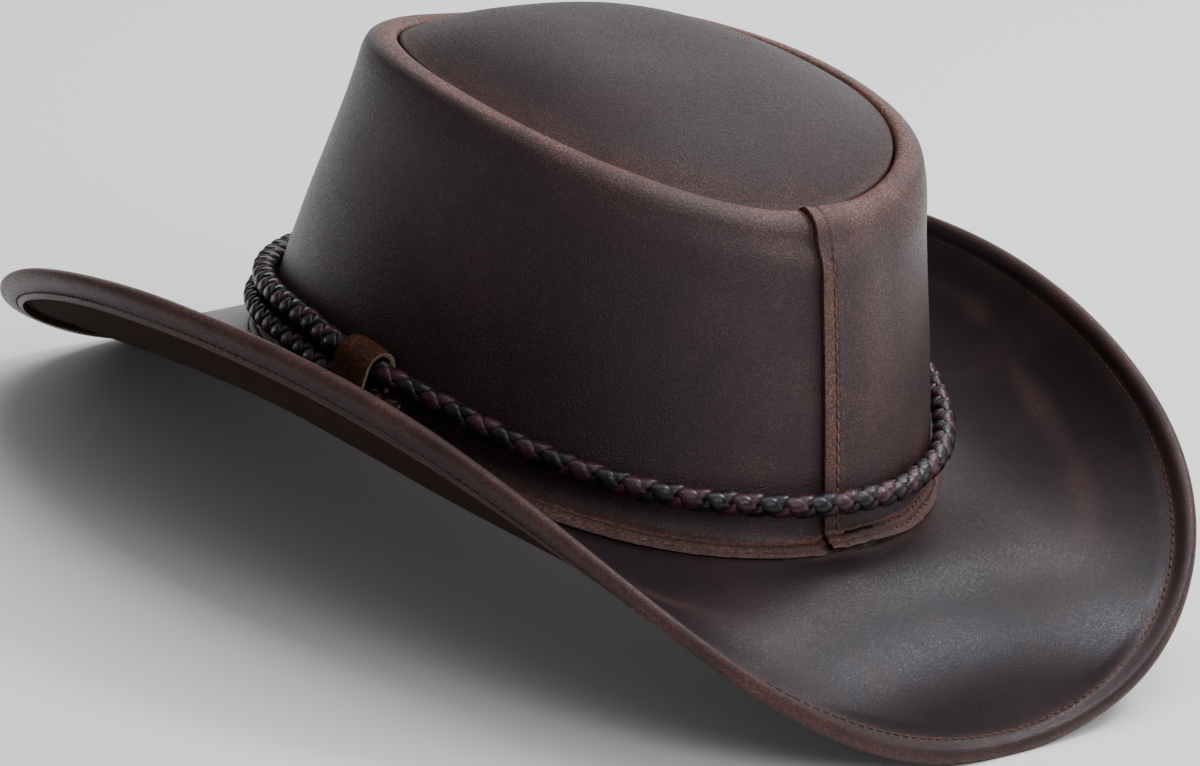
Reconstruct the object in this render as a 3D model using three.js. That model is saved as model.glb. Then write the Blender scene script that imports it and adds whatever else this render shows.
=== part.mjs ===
// Leather bush hat: a wrapped crown side and a recessed crown tip, a wide brim whose edge is turned over
// a wire and whose sides are rolled up, and a braided band held by two leather keepers.
// Millimetres, +Z up. The wearer's face is at -Y, the back of the head at +Y, the wearer's left at +X.
// The hat stands by itself on the lowest stretches of the brim, at the front and at the back, and the
// origin is in the middle of its box on the surface it stands on.
// Angles round the hat count from the front (0) over the wearer's left (90) to the back (180).
import * as THREE from 'three';
import { mergeVertices } from 'three/addons/utils/BufferGeometryUtils.js';

// Head opening and crown
const headLength = 210.5;
const headWidth = 178;
const crownHeight = 92;
const topLength = 166;
const topWidth = 150;
const topForward = 3.7;
const topSquare = 3.2;
const wallBulge = 1.7;
const wallThickness = 2;
const baseEgg = 0.014;
const topEgg = 0.044;
const baseSaddle = 5.3;
const flareWidth = 2.2;
const flareHeight = 6.5;

// Flange of the crown side, stitched on top of the brim
const flangeWidth = 8.5;
const flangeSkew = 2.4;
const flangeFillet = 3.2;
const flangeEdge = 0.6;

// Rolled rim of the crown and the tip in its groove
const rimRadius = 7.1;
const rimInset = 9.3;
const rimDrop = 1;
const tuckDepth = 9;
const tipSink = 1.4;
const tipThickness = 2;
const tipDome = 12.5;
const tipFullness = 3;
const tipEdgeRadius = 1.8;

// Back seam of the crown side, where its right end laps over its left end
const seamAngle = 174.5;
const lapThickness = 1.3;
const lapWidth = 13;
const lapRunOut = 9;
const lapTuck = 0.3;

// Brim
const brimWidth = 90;
const brimThickness = 2.2;
const brimCurl = 1.14;
const hemWidth = 10.5;
const hemThickness = 1.8;
const hemSwell = 6.8;
const beadRadius = 2.8;
const beadDrop = 1.3;

// Braided band and its keepers
const strandDiameter = 7.4;
const bandHeight = 15.5;
const keeperAngle = 92.5;
const keeperLength = 13.5;
const keeperThickness = 1.5;
const keeperPlay = 0.7;
const tailLength = 7;
const rowRun = 24;

// Clearances between pieces, and how far the leather presses flat where the hat stands on it
const gap = 0.3;
const bandGap = 0.45;
const standFlat = 1.3;

// Rim and brim directions, each list read at even steps from the front to the back.
// rise, sag and band are shares of crownHeight, baseSaddle and bandHeight, cuff is a share of flangeWidth,
// reach is a share of brimWidth, and the slopes are degrees above level at the crown and at the edge.
const crownForm = {
  rise: [0.945, 1.004, 1.038, 0.992, 0.917],
  sag: [-1.2, 0.74, -0.48],
  cuff: [1, 1.05, 0.75],
  band: [0.96, 1.01, 1.22, 0.88, 1],
};
const brimForm = {
  reach: [1, 0.854, 0.688, 0.796, 0.92],
  rootSlope: [-32.3, -31.5, 4, -5, 13],
  edgeSlope: [-30.5, 39, 63, 40, -58],
};

const stations = 76;
const stationSplit = 0.35;
const bandSteps = 90;
const bandSides = 8;
const keeperSegments = 7;
const slopeSteps = 24;

// Smooth value at angle t from values at even steps between front and back, the same on both sides:
// the cosine series that passes through them
function around(values, t) {
  const last = values.length - 1;
  let sum = 0;
  for (let order = 0; order <= last; order += 1) {
    let coefficient = 0;
    values.forEach((value, index) => {
      const share = index === 0 || index === last ? 0.5 : 1;
      coefficient += share * value * Math.cos((Math.PI * order * index) / last);
    });
    const share = order === 0 || order === last ? 1 : 2;
    sum += (share / last) * coefficient * Math.cos(order * t);
  }
  return sum;
}

const lerp = THREE.MathUtils.lerp;
const radians = THREE.MathUtils.degToRad;

// Height of the crown's foot and of its rim round the hat
const footHeight = (t) => baseSaddle * around(crownForm.sag, t);
const rimHeight = (t) => crownHeight * around(crownForm.rise, t);

// Egg-shaped oval at a level of the crown, 0 at the foot and 1 at the rim, moved out along its normal
function ovalPoint(t, level, out) {
  const length = lerp(headLength, topLength, level) / 2 + wallBulge * Math.sin(Math.PI * level);
  const width = lerp(headWidth, topWidth, level) / 2 + wallBulge * Math.sin(Math.PI * level);
  const egg = lerp(baseEgg, topEgg, level);
  const x = width * Math.sin(t) * (1 - egg * Math.cos(t));
  const y = -length * Math.cos(t) - topForward * level;
  const alongX = width * (Math.cos(t) * (1 - egg * Math.cos(t)) + egg * Math.sin(t) ** 2);
  const alongY = length * Math.sin(t);
  const norm = Math.hypot(alongX, alongY);
  const off = out + (topSquare * level ** 2 * (1 - Math.cos(4 * t))) / 2;
  return { x: x + (off * alongY) / norm, y: y - (off * alongX) / norm };
}

// Point of the crown wall: out from the oval of its level and up from the wall's height there
function wallPoint(t, level, out, up) {
  const height = rimHeight(t) - footHeight(t);
  const flare = flareWidth * Math.exp((-level * height) / flareHeight);
  const plan = ovalPoint(t, level, out + flare);
  return new THREE.Vector3(plan.x, plan.y, lerp(footHeight(t), rimHeight(t), level) + up);
}

// Point of the brim at a distance along its top surface from the crown's foot, lifted off that surface
function brimPoint(t, along, lift) {
  const reach = brimWidth * around(brimForm.reach, t);
  const rootSlope = radians(around(brimForm.rootSlope, t));
  const edgeSlope = radians(around(brimForm.edgeSlope, t));
  const slopeAt = (share) => lerp(rootSlope, edgeSlope, Math.sign(share) * Math.abs(share) ** brimCurl);
  const step = along / slopeSteps;
  let out = 0;
  let up = 0;
  for (let i = 0; i < slopeSteps; i += 1) {
    const slope = slopeAt(Math.min(1, ((i + 0.5) * step) / reach));
    out += step * Math.cos(slope);
    up += step * Math.sin(slope);
  }
  const slope = slopeAt(Math.min(1, along / reach));
  const plan = ovalPoint(t, 0, out - lift * Math.sin(slope));
  return new THREE.Vector3(plan.x, plan.y, footHeight(t) + up + lift * Math.cos(slope));
}

const brimReach = (t) => brimWidth * around(brimForm.reach, t);
const cuffReach = (t) => flangeWidth * around(crownForm.cuff, t) - flangeSkew * Math.sin(2 * t);

// Section of the brim at angle t: underside, hem, bead over the wire and top surface, one closed loop
function brimSection(t) {
  const reach = brimReach(t);
  const hemStart = reach - hemWidth;
  const shares = [0, 0.2, 0.4, 0.6, 0.8];
  const between = (share) => lerp(cuffReach(t), hemStart, share);
  const points = [brimPoint(t, 0, -brimThickness)];
  points.push(...shares.map((share) => brimPoint(t, between(share), -brimThickness)));
  points.push(brimPoint(t, hemStart, -brimThickness));
  points.push(brimPoint(t, hemStart, -brimThickness - hemThickness));
  points.push(brimPoint(t, reach - 2 * beadRadius, -brimThickness - hemThickness));
  for (const turn of [-110, -65, -20, 25, 70, 115]) {
    const along = reach + beadRadius * Math.cos(radians(turn));
    points.push(brimPoint(t, along, beadRadius * Math.sin(radians(turn)) - beadDrop));
  }
  points.push(brimPoint(t, reach - hemSwell, 0));
  points.push(...shares.reverse().map((share) => brimPoint(t, between(share), 0)));
  points.push(brimPoint(t, cuffReach(t) / 2, 0));
  points.push(brimPoint(t, 0, 0));
  return points;
}

// How far the lap of the back seam stands out at angle t
function lapRaise(t) {
  const turn = THREE.MathUtils.euclideanModulo(t - radians(seamAngle), 2 * Math.PI);
  const distance = (turn * headWidth) / 2;
  return lapThickness * (1 - THREE.MathUtils.smoothstep(distance, lapWidth, lapWidth + lapRunOut));
}

// How far the middle of a rounded corner lies in from the corner, along either side
const roundOff = (radius) => radius * (1 - Math.SQRT1_2);

// Section of the crown side at angle t: flange, wall, rolled rim and the edge tucked down in the groove
function crownSection(t) {
  const raise = lapRaise(t);
  const cuff = cuffReach(t);
  const flangeTop = gap + wallThickness + raise;
  const wallStart = (flangeTop + flangeFillet) / (rimHeight(t) - footHeight(t));
  const filletHalf = roundOff(flangeFillet);
  const points = [
    brimPoint(t, cuff / 2, gap),
    brimPoint(t, cuff, gap),
    brimPoint(t, cuff, flangeTop - flangeEdge),
    brimPoint(t, cuff - flangeEdge, flangeTop),
    brimPoint(t, flareWidth + flangeFillet, flangeTop),
    brimPoint(t, flareWidth + filletHalf, flangeTop + filletHalf),
  ];
  for (const level of [wallStart, 0.12, 0.24, 0.42, 0.6, 0.78]) {
    points.push(wallPoint(t, level, raise, 0));
  }
  for (const turn of [8, 35, 62, 90]) {
    const angle = radians(turn);
    const out = rimRadius * (Math.cos(angle) - 1) + raise * Math.cos(angle);
    points.push(wallPoint(t, 1, out, rimRadius * (Math.sin(angle) - 1) + raise * Math.sin(angle)));
  }
  points.push(wallPoint(t, 1, -rimInset - lapTuck * raise, -rimDrop));
  points.push(wallPoint(t, 1, -rimInset - lapTuck * raise, -tuckDepth));
  points.push(wallPoint(t, 1, wallThickness - rimInset, -tuckDepth));
  points.push(wallPoint(t, 1, wallThickness - rimInset, -wallThickness - rimDrop));
  const innerRadius = rimRadius - wallThickness;
  for (const turn of [80, 40]) {
    const out = innerRadius * Math.cos(radians(turn)) - rimRadius;
    points.push(wallPoint(t, 1, out, innerRadius * Math.sin(radians(turn)) - rimRadius));
  }
  for (const level of [0.78, 0.55, 0.3, 0.12]) {
    points.push(wallPoint(t, level, -wallThickness, 0));
  }
  points.push(brimPoint(t, 0, gap));
  return points;
}

// Section of the crown tip at angle t: from the middle of its underside out to the edge that goes down in
// the groove, and back over the top to the middle
function tipSection(t) {
  const inset = rimInset + gap + lapTuck * lapThickness;
  const edgeHalf = roundOff(tipEdgeRadius);
  const middleHeight = crownHeight + tipDome;
  const centre = new THREE.Vector3(0, -topForward, middleHeight);
  const cap = (share, drop) => {
    const edge = wallPoint(t, 1, -inset - tipEdgeRadius, -tipSink);
    const point = centre.clone().lerp(edge, share);
    point.z = lerp(middleHeight, edge.z, share ** tipFullness) - drop;
    return point;
  };
  const points = [0, 0.3, 0.55, 0.78, 0.97].map((share) => cap(share, tipThickness));
  points.push(wallPoint(t, 1, -inset - tipThickness, -tuckDepth));
  points.push(wallPoint(t, 1, -inset, -tuckDepth));
  points.push(wallPoint(t, 1, -inset, -tipSink - tipEdgeRadius));
  points.push(wallPoint(t, 1, -inset - edgeHalf, -tipSink - edgeHalf));
  points.push(...[1, 0.78, 0.55, 0.3, 0].map((share) => cap(share, 0)));
  return points;
}

// Lowest point of the brim's edge near an angle when the hat is tipped by a pitch about the X axis
function lowestPoint(middle, pitch) {
  const tip = new THREE.Euler(pitch, 0, 0);
  let lowest = null;
  for (let step = -10; step <= 10; step += 1) {
    for (const point of brimSection(radians(middle + 2 * step))) {
      point.applyEuler(tip);
      if (!lowest || point.z < lowest.z) {
        lowest = point;
      }
    }
  }
  return lowest;
}

// Pitch at which the front and the back of the brim stand on one level, and the way to the origin
function standingPose() {
  let pitch = 0;
  for (let pass = 0; pass < 6; pass += 1) {
    const front = lowestPoint(0, pitch);
    const back = lowestPoint(180, pitch);
    pitch -= Math.atan2(back.z - front.z, back.y - front.y);
  }
  const tip = new THREE.Euler(pitch, 0, 0);
  const box = new THREE.Box3();
  for (let index = 0; index < stations; index += 1) {
    const section = brimSection((2 * Math.PI * index) / stations);
    section.forEach((point) => box.expandByPoint(point.applyEuler(tip)));
  }
  const drop = lowestPoint(0, pitch).z + standFlat;
  return { tip, shift: new THREE.Vector3(0, -(box.min.y + box.max.y) / 2, -drop) };
}

const pose = standingPose();

function stand(point) {
  return point.applyEuler(pose.tip).add(pose.shift);
}

// Closed ring or cap: a lathe with as many rows as the section, each row then moved to its place in the
// section of each station. A ring's profile closes on itself and a cap's starts and ends on the axis.
function hatForm(sectionAt) {
  const sections = stationAngles.map((t) => sectionAt(t).map(stand));
  const isRing = sections[0][0].distanceTo(sections[1][0]) > gap;
  const profile = sections[0].map((_, row) => new THREE.Vector2(1, row));
  if (isRing) {
    profile.push(profile[0]);
  }
  const geometry = new THREE.LatheGeometry(profile, sections.length);
  const position = geometry.getAttribute('position');
  for (let index = 0; index < position.count; index += 1) {
    const section = sections[Math.floor(index / profile.length) % sections.length];
    const point = section[(index % profile.length) % section.length];
    position.setXYZ(index, point.x, point.y, Math.max(0, point.z));
  }
  geometry.deleteAttribute('normal');
  geometry.deleteAttribute('uv');
  return withoutSlivers(mergeVertices(geometry, 1e-4));
}

// The rows that meet on the axis leave triangles with two corners in one place, which go
function withoutSlivers(geometry) {
  const corners = Array.from(geometry.getIndex().array);
  const kept = [];
  for (let i = 0; i < corners.length; i += 3) {
    const [a, b, c] = corners.slice(i, i + 3);
    if (a !== b && b !== c && c !== a) {
      kept.push(a, b, c);
    }
  }
  geometry.setIndex(kept);
  return geometry;
}

// Stations round the hat: they start on the raised edge of the lap and end just before it
const stationAngles = Array.from({ length: stations }, (_, i) => radians(seamAngle + (360 * i) / stations));
stationAngles.push(radians(seamAngle + 360 - stationSplit));

// Length along the hatband's round of an angle in degrees, by the mean width of the head
const roundLength = (degrees) => (degrees * Math.PI * headWidth) / 360;

// Row of the band: 0 on the lower row, which lies in front alone, and 1 on the upper one
function bandRow(turn) {
  const pastRight = roundLength(turn - 2 * keeperAngle);
  return THREE.MathUtils.smoothstep(pastRight, keeperLength, keeperLength + rowRun);
}

// Distance along the round from angle t to a place in degrees, whichever way is shorter
function awayFrom(t, place) {
  const turn = THREE.MathUtils.euclideanModulo(t - radians(place) + Math.PI, 2 * Math.PI) - Math.PI;
  return roundLength(Math.abs(THREE.MathUtils.radToDeg(turn)));
}

// Room between the band and the wall for the keepers' leather and over the lap of the seam
function bandRoom(t) {
  const smooth = THREE.MathUtils.smoothstep;
  const fromKeeper = Math.min(awayFrom(t, keeperAngle), awayFrom(t, -keeperAngle));
  const lapMiddle = seamAngle + (lapWidth * 360) / (2 * Math.PI * headWidth);
  const overLap = 1 - smooth(awayFrom(t, lapMiddle), lapWidth, lapWidth + lapRunOut);
  const atKeeper = 1 - smooth(fromKeeper, 0.6 * keeperLength, 2 * keeperLength);
  return bandGap + (keeperThickness + keeperPlay) * atKeeper + lapThickness * overLap;
}

// Centre line of the band at a turn in degrees: from the left keeper over the front to the right keeper
// on the lower row, then on the upper row round the back and once more over the front
function bandPoint(turn) {
  const t = radians(keeperAngle - turn);
  const up = bandHeight * around(crownForm.band, t) - (1 - bandRow(turn)) * (strandDiameter + gap);
  const level = up / (rimHeight(t) - footHeight(t));
  return stand(wallPoint(t, level, strandDiameter / 2 + bandRoom(t), 0));
}

class BandLine extends THREE.Curve {
  getPoint(share, target = new THREE.Vector3()) {
    const tail = (tailLength + keeperLength / 2) / roundLength(1);
    return target.copy(bandPoint(lerp(-tail, 360 + 2 * keeperAngle + tail, share)));
  }
}

function bandGeometry() {
  const outline = new THREE.Shape();
  for (let side = 0; side < bandSides; side += 1) {
    const angle = (2 * Math.PI * (side + 0.5)) / bandSides;
    const x = (strandDiameter / 2) * Math.cos(angle);
    const y = (strandDiameter / 2) * Math.sin(angle);
    if (side === 0) {
      outline.moveTo(x, y);
    } else {
      outline.lineTo(x, y);
    }
  }
  const extrudePath = new BandLine();
  return new THREE.ExtrudeGeometry(outline, { extrudePath, steps: bandSteps, bevelEnabled: false });
}

// Sleeve of rough leather round both rows of the band: a flat loop with round ends
function loopOutline(width, height) {
  const half = width / 2;
  const straight = height / 2 - half;
  const outline = new THREE.Path();
  outline.absarc(0, straight, half, 0, Math.PI, false);
  outline.absarc(0, -straight, half, Math.PI, 2 * Math.PI, false);
  outline.closePath();
  return outline;
}

function keeperMesh(side) {
  const inner = strandDiameter + 2 * keeperPlay;
  const innerHeight = 2 * strandDiameter + gap + 2 * keeperPlay;
  const outer = loopOutline(inner + 2 * keeperThickness, innerHeight + 2 * keeperThickness);
  const sleeve = new THREE.Shape(outer.getPoints(keeperSegments));
  sleeve.holes.push(loopOutline(inner, innerHeight));
  const options = { depth: keeperLength, bevelEnabled: false, curveSegments: keeperSegments };
  const geometry = new THREE.ExtrudeGeometry(sleeve, options);
  geometry.translate(0, 0, -keeperLength / 2);
  const mesh = new THREE.Mesh(geometry);
  const lower = bandPoint(side > 0 ? 0 : 2 * keeperAngle);
  const upper = bandPoint(side > 0 ? 360 : 360 + 2 * keeperAngle);
  const ahead = bandPoint(side > 0 ? 1 : 2 * keeperAngle + 1);
  const along = ahead.sub(lower).normalize();
  const up = upper.clone().sub(lower).normalize();
  const across = new THREE.Vector3().crossVectors(up, along).normalize();
  const square = new THREE.Vector3().crossVectors(along, across);
  mesh.quaternion.setFromRotationMatrix(new THREE.Matrix4().makeBasis(across, square, along));
  mesh.position.copy(lower.add(upper).multiplyScalar(0.5));
  return mesh;
}

const leather = {
  side: new THREE.MeshStandardMaterial({ color: 0x33211e, roughness: 0.5, metalness: 0 }),
  tip: new THREE.MeshStandardMaterial({ color: 0x3a2a28, roughness: 0.4, metalness: 0 }),
  brim: new THREE.MeshStandardMaterial({ color: 0x35272a, roughness: 0.42, metalness: 0 }),
  lace: new THREE.MeshStandardMaterial({ color: 0x2a1c20, roughness: 0.45, metalness: 0 }),
  suede: new THREE.MeshStandardMaterial({ color: 0x3d261b, roughness: 0.9, metalness: 0 }),
};

function named(mesh, name, material) {
  mesh.name = name;
  mesh.material = material;
  return mesh;
}

const hat = new THREE.Group();
hat.add(named(new THREE.Mesh(hatForm(crownSection)), 'crown_side', leather.side));
hat.add(named(new THREE.Mesh(hatForm(tipSection)), 'crown_tip', leather.tip));
hat.add(named(new THREE.Mesh(hatForm(brimSection)), 'brim', leather.brim));
hat.add(named(new THREE.Mesh(bandGeometry()), 'band', leather.lace));
hat.add(named(keeperMesh(1), 'keeper_left', leather.suede));
hat.add(named(keeperMesh(-1), 'keeper_right', leather.suede));

export default hat;
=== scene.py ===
"""A bush hat of oiled leather: brim, crown side, crown tip, braided band, keepers and stitches."""
from functools import cache
from math import cos, degrees, exp, hypot, pi, radians, sin

import bmesh
import bpy
from mathutils import Euler, Matrix, Vector, noise


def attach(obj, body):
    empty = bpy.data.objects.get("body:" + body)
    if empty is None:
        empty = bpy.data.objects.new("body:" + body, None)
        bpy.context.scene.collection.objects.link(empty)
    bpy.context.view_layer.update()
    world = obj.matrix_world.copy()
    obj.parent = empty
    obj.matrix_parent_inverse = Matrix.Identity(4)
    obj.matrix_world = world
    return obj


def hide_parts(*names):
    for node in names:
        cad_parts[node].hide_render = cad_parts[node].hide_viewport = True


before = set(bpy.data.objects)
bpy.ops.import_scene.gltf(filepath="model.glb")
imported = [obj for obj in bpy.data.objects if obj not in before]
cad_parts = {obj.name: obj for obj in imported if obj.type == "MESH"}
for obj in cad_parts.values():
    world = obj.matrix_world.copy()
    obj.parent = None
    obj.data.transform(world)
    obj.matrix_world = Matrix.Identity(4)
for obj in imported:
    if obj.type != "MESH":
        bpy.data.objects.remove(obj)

bl_info = {
    "name": "Bush hat",
    "version": (1, 0, 0),
    "blender": (4, 5, 0),
    "location": "3D View > Sidebar > Hat",
    "description": "Makes a leather bush hat round its packed solids",
    "category": "Object",
}

# Angles round the hat count from the front (0) over the wearer's left (90) to the back (180).
# Each table is read at even steps from the front to the back. rise, sag and band are shares of the crown's
# height, of the foot's saddle and of the band's height, cuff is a share of the flange's width, reach is a
# share of the brim's width, and the slopes are degrees above level at the crown and at the edge.
CROWN_RISE = (0.945, 1.004, 1.038, 0.992, 0.917)
FOOT_SAG = (-1.2, 0.74, -0.48)
CUFF_WIDTH = (1, 1.05, 0.75)
BAND_RISE = (0.96, 1.01, 1.22, 0.88, 1)
BRIM_REACH = (1, 0.854, 0.688, 0.796, 0.92)
BRIM_ROOT_SLOPE = (-32.3, -31.5, 4, -5, 13)
BRIM_EDGE_SLOPE = (-30.5, 39, 63, 40, -58)
BRIM_CURL = 1.14
SLOPE_STEPS = 24

# Form of the crown, in metres
TOP_FORWARD = 0.0037
TOP_SQUARE = 0.0026
WALL_BULGE = 0.0019
BASE_EGG = 0.014
TOP_EGG = 0.044
BASE_SADDLE = 0.0053
FLARE_WIDTH = 0.0022
FLARE_HEIGHT = 0.0065
FLANGE_FILLET = 0.0032
FLANGE_SKEW = 0.0024
RIM_DROP = 0.001
SHOULDER_TIGHT = 0.35
TUCK_DEPTH = 0.009
TIP_SINK = 0.0003
TIP_NEAR_SINK = 0.0011
TIP_FULLNESS = 3.6
TIP_EDGE_RADIUS = 0.0013
GAP = 0.0003
HAIR = 0.0001
CROWN_MIDDLE = (0, 0, 0.06)
FAR_BELOW = (0, 0, -10)

# Places round the crown: degrees, and the distances up to which an effect is full and at which it ends
CREST_WEAR = (175, 0.07, 0.15)
RIGHT_WEAR = (212, 0.03, 0.07)
SHOULDER = (55, 0.05, 0.11)
NEAR_DIP = (125, 0.05, 0.12)

# Rows of the wall: level, stress everywhere, and more stress at the worn crest and on the worn right
WALL_ROWS = (
    (0.12, 0.1, 0, 0.05), (0.24, 0.03, 0, 0.06), (0.42, 0, 0, 0.12), (0.6, 0, 0, 0.2),
    (0.78, 0, 0.04, 0.1), (0.88, 0, 0.2, 0))
# Rows over the rim: degrees of its roll, stress everywhere and more at the worn crest
RIM_ROWS = ((14, 0, 0.28), (35, 0, 0.46), (55, 0.1, 0.48), (74, 0.4, 0.35), (90, 0.95, 0))
# Rows down in the groove: distance out from it, rise and stress
GROOVE_ROWS = ((0.0006, -0.0002, 0.95), (0, -RIM_DROP, 0.7), (0, -0.004, 0), (0, -TUCK_DEPTH, 0))
# Steps from each of these rows to the next: flange, fillet, wall, rim and groove
SIDE_STEPS = (1, *[2] * 9, 2, 1, 1, 2, 2, 4, 5, 5, 5, 3, 3, 2, 2, 2, 2, 2, 1, 2, 2)
LEFT_CREST_LOSS = 0.6
LEFT_CREST = (0.1, 0.2)

# Tip: steps to its edge, degrees round the edge, its stress there, and its tucked rows, each out and down
TIP_STEPS = 48
TIP_EDGE_TURNS = (65, 40, 15)
TIP_EDGE_STRESS = 0.35
TIP_TUCK_ROWS = ((0, 0.004), (0, 0.0065), (0, TUCK_DEPTH), (0.0003, TUCK_DEPTH + 0.0012),
                 (0.0028, TUCK_DEPTH + 0.0016))

# Back seam, where the side's right end laps over the left one. Grooves and wears: height, middle, half width
SEAM_ANGLE = 174.5
LAP_RAISE = 0.0016
LAP_WIDTH = 0.013
LAP_RUN_OUT = 0.022
LAP_SKIVE = 0.3
LAP_INSET = 0.3
LAP_TUCK = 0.0015
LAP_END = 0.004
UNDER_LAP = (0.006, 0.5)
LAP_STITCH = 0.0046
LAP_STITCH_GROOVE = (0.0004, LAP_STITCH, 0.0013)
LAP_EDGE_WEAR = (0.6, 0.002, 0.007)
SEAM_STEP = 0.0005

# Rows of the flange from its frayed edge inwards: distance from the edge, rise and stress. Its two stitched
# grooves lie at 2 and 4.8 mm.
FLANGE_ROWS = (
    (0, -0.00165, 0.45), (0.0004, -0.00135, 0.4), (0.001, -0.00095, 0.5), (0.0016, -0.0007, 0.65),
    (0.002, -0.0012, 0.8), (0.0024, -0.0004, 0.7), (0.0034, 0.0003, 0.32), (0.0044, 0.0001, 0.65),
    (0.0048, -0.0006, 0.9), (0.0052, 0, 0.85), (0.006, 0.0002, 0.7))
FLANGE_STITCHES = {"flange_stitches_outer": (0.002, -0.0009), "flange_stitches_inner": (0.0048, -0.0003)}
FLANGE_FLAT = 0.0015
FLANGE_FRAY = 0.0005
FRAY_WAVES = 55
FLANGE_THIN = 0.72
THIN_ROWS = (6, 17)

# Brim's edge, turned over a wire, and its hem
BEAD_DROP = 0.0013
STITCH_INSET = 0.0068
VALLEY_DEPTH = 0.0004
VALLEY_WIDTH = 0.0045
HEM_DENT = 0.002
TOP_STEPS = 40
VALLEY_STEPS = 12
BEAD_STEPS = 14
HEM_STEPS = 11
VALLEY_STRESS = 0.18
BEAD_STRESS = (0.22, 0.28)
HEM_STRESS = 0.12
THREAD_WEAR = (0.35, STITCH_INSET, 0.0012)
HEM_WEAR = (0.3, HEM_STEPS, 3)

# Worn arc of the brim: strength, then place, shift at the sides and half width as shares of the brim's width
ARC_WEAR = 0.27
ARC_PLACE = 0.69
ARC_SHIFT = 0.17
ARC_WIDTH = 0.11
ROOT_WEAR = (0.3, 0.06, 0.1)

# Braided band and its keepers
BAND_GAP = 0.00045
KEEPER_ANGLE = 92.5
KEEPER_PLAY = 0.0007
TAIL_LENGTH = 0.007
ROW_RUN = 0.024
BRAID_TURN = -12
LACE_WIDTH = 0.0046
LACE_THICKNESS = 0.0024
LACE_SINK = 0.0008
WEAVE = 0.0006
LACE_SQUARE = 3
KEEPER_PINCH = 0.0006
KEEPER_STEPS = 16
KEEPER_SIDES = 64

# Stitches: half length as a share of the pitch, wander, places along each row, degrees from the seam to the
# flange's rows, and levels of the lap's row
STITCH_SHARE = 0.43
STITCH_WANDER = 0.0001
BESIDE = 0.001
HEM_PLACES = 2600
FLANGE_PLACES = 1600
FLANGE_SEWN = 1590
FLANGE_FIRST = 0.8
LAP_PLACES = 260
LAP_ROW = (0.08, 0.94)

# How the hat leans back when it rests on the brim
REST_PITCH = -0.06859366
REST_SHIFT = (0, 0.00516078, 0.0433884)

# Camera: directions of its view and its place, from the outlines of the brim and the crown
VIEW_BACK = (0.67064532, 0.67222696, 0.31360129)
VIEW_RIGHT = (-0.73245855, 0.66693339, 0.13676375)
VIEW_TARGET = (0, 0.00824507, 0.08828258)
VIEW_DISTANCE = 1.444991
VIEW_OFFSET = (0.005952, 0.038925)
FOCAL_LENGTH = 151.725
SENSOR_WIDTH = 36
NEAREST = 0.05

# Studio: softboxes by bearing and height in degrees, distance, size and power, aimed at one point
LIGHT_TARGET = (0, 0, 0.08)
WORLD_LIGHT = 0.24
FLOOR_REACH = 6
SOFTBOXES = {
    "softbox_backdrop": (310, 11, 5, (5.8, 1.7), 50),
    "softbox_behind": (293, 36, 1.6, (0.3, 0.22), 3.5),
    "softbox_ridge": (254, 49, 1.6, (0.4, 0.4), 14),
    "softbox_right": (243, 10, 1.4, (0.8, 0.5), 3),
    "softbox_near": (172, 38, 1.7, (0.9, 0.9), 10),
    "softbox_top": (270, 78, 2.0, (1.7, 1.7), 28),
}


# Kinds of settings in the panel: lengths in metres, whole numbers and colours


def metres(name, description, default):
    return bpy.props.FloatProperty(name=name, description=description, default=default, unit="LENGTH")


def number(name, description, default):
    return bpy.props.IntProperty(name=name, description=description, default=default)


def paint(name, description, default):
    return bpy.props.FloatVectorProperty(name=name, description=description, default=default, subtype="COLOR")


class BushHatSizes(bpy.types.PropertyGroup):
    """Sizes of the hat that its maker would change"""

    head_length: metres("Head length", "Foot of the crown, front to back", 0.2105)
    head_width: metres("Head width", "Foot of the crown, side to side", 0.178)
    crown_height: metres("Crown height", "Mean height of the rim above the foot", 0.092)
    top_length: metres("Top length", "Crown at its rim, front to back", 0.166)
    top_width: metres("Top width", "Crown at its rim, side to side", 0.15)
    rim_radius: metres("Rim radius", "Roll of the leather over the rim", 0.0071)
    rim_inset: metres("Rim inset", "Width of the rolled rim up to the groove", 0.0093)
    tip_dome: metres("Tip dome", "Rise of the crown tip's middle", 0.0125)
    leather: metres("Leather", "Thickness of the crown's leather", 0.002)
    flange_width: metres("Flange width", "Crown side turned out on the brim", 0.0085)
    brim_width: metres("Brim width", "Brim in front, from the crown to the wire", 0.09)
    brim_leather: metres("Brim leather", "Thickness of the brim's leather", 0.0022)
    bead_radius: metres("Bead radius", "Roll of the brim's edge over its wire", 0.0028)
    hem_width: metres("Hem width", "Leather turned under the brim's edge", 0.0062)
    braid_diameter: metres("Braid diameter", "Thickness of the braided band", 0.0074)
    braid_pitch: metres("Braid pitch", "From one crossing of the laces to the next", 0.0076)
    band_height: metres("Band height", "Upper row of the band above the foot", 0.0155)
    keeper_length: metres("Keeper length", "Keeper along the band", 0.0135)
    keeper_leather: metres("Keeper leather", "Thickness of the keeper's leather", 0.0015)
    stitch_pitch: metres("Stitch pitch", "Distance from stitch to stitch", 0.0031)
    thread: metres("Thread", "Thickness of the thread", 0.0007)


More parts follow.
